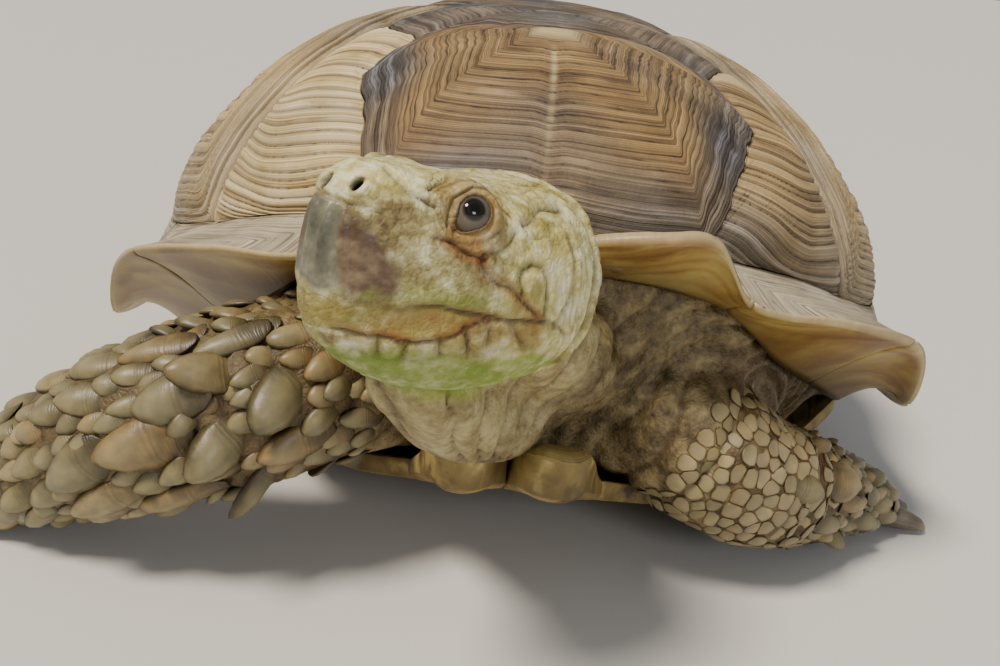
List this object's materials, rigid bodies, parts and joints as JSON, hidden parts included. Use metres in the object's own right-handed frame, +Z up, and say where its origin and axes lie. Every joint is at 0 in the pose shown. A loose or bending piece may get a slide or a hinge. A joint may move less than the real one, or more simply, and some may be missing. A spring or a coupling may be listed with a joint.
{
  "type": "sulcata tortoise",
  "caption": "Life-size still model of an adult sulcata tortoise resting on its plastron, forelegs spread, head raised and turned to its right.",
  "frame": {"origin": "middle of the whole model's footprint, on the floor it rests on", "axes": "+Z up; the shell faces -Y along its own length; +X is towards the left side of the animal"},
  "size_m": [0.5886, 0.8438, 0.2908],
  "materials": {
    "carapace_horn": "weathered keratin, ringed",
    "rim_horn": "smooth weathered keratin",
    "plastron_horn": "worn keratin",
    "eye": "wet and glossy",
    "head_skin": "dry scaled skin",
    "body_skin": "dry wrinkled skin",
    "leg_scales": "horny scales over dry skin"
  },
  "bodies": {
    "root": {"abdominal_left": "plastron_horn", "abdominal_right": "plastron_horn", "anal_left": "plastron_horn", "anal_right": "plastron_horn", "costal_1_left": "carapace_horn", "costal_1_right": "carapace_horn", "costal_2_left": "carapace_horn", "costal_2_right": "carapace_horn", "costal_3_left": "carapace_horn", "costal_3_right": "carapace_horn", "costal_4_left": "carapace_horn", "costal_4_right": "carapace_horn", "eye_left": "eye", "eye_right": "eye", "femoral_left": "plastron_horn", "femoral_right": "plastron_horn", "foreleg_left": "leg_scales", "foreleg_right": "leg_scales", "gular_left": "plastron_horn", "gular_right": "plastron_horn", "head": "head_skin", "hindleg_left": "leg_scales", "hindleg_right": "leg_scales", "humeral_left": "plastron_horn", "humeral_right": "plastron_horn", "marginal_10_left": "rim_horn", "marginal_10_right": "rim_horn", "marginal_11_left": "rim_horn", "marginal_11_right": "rim_horn", "marginal_1_left": "rim_horn", "marginal_1_right": "rim_horn", "marginal_2_left": "rim_horn", "marginal_2_right": "rim_horn", "marginal_3_left": "rim_horn", "marginal_3_right": "rim_horn", "marginal_4_left": "rim_horn", "marginal_4_right": "rim_horn", "marginal_5_left": "rim_horn", "marginal_5_right": "rim_horn", "marginal_6_left": "rim_horn", "marginal_6_right": "rim_horn", "marginal_7_left": "rim_horn", "marginal_7_right": "rim_horn", "marginal_8_left": "rim_horn", "marginal_8_right": "rim_horn", "marginal_9_left": "rim_horn", "marginal_9_right": "rim_horn", "neck": "body_skin", "pectoral_left": "plastron_horn", "pectoral_right": "plastron_horn", "supracaudal": "rim_horn", "tail": "body_skin", "trunk": "body_skin", "vertebral_1": "carapace_horn", "vertebral_2": "carapace_horn", "vertebral_3": "carapace_horn", "vertebral_4": "carapace_horn", "vertebral_5": "carapace_horn"}
  },
  "joints": []
}
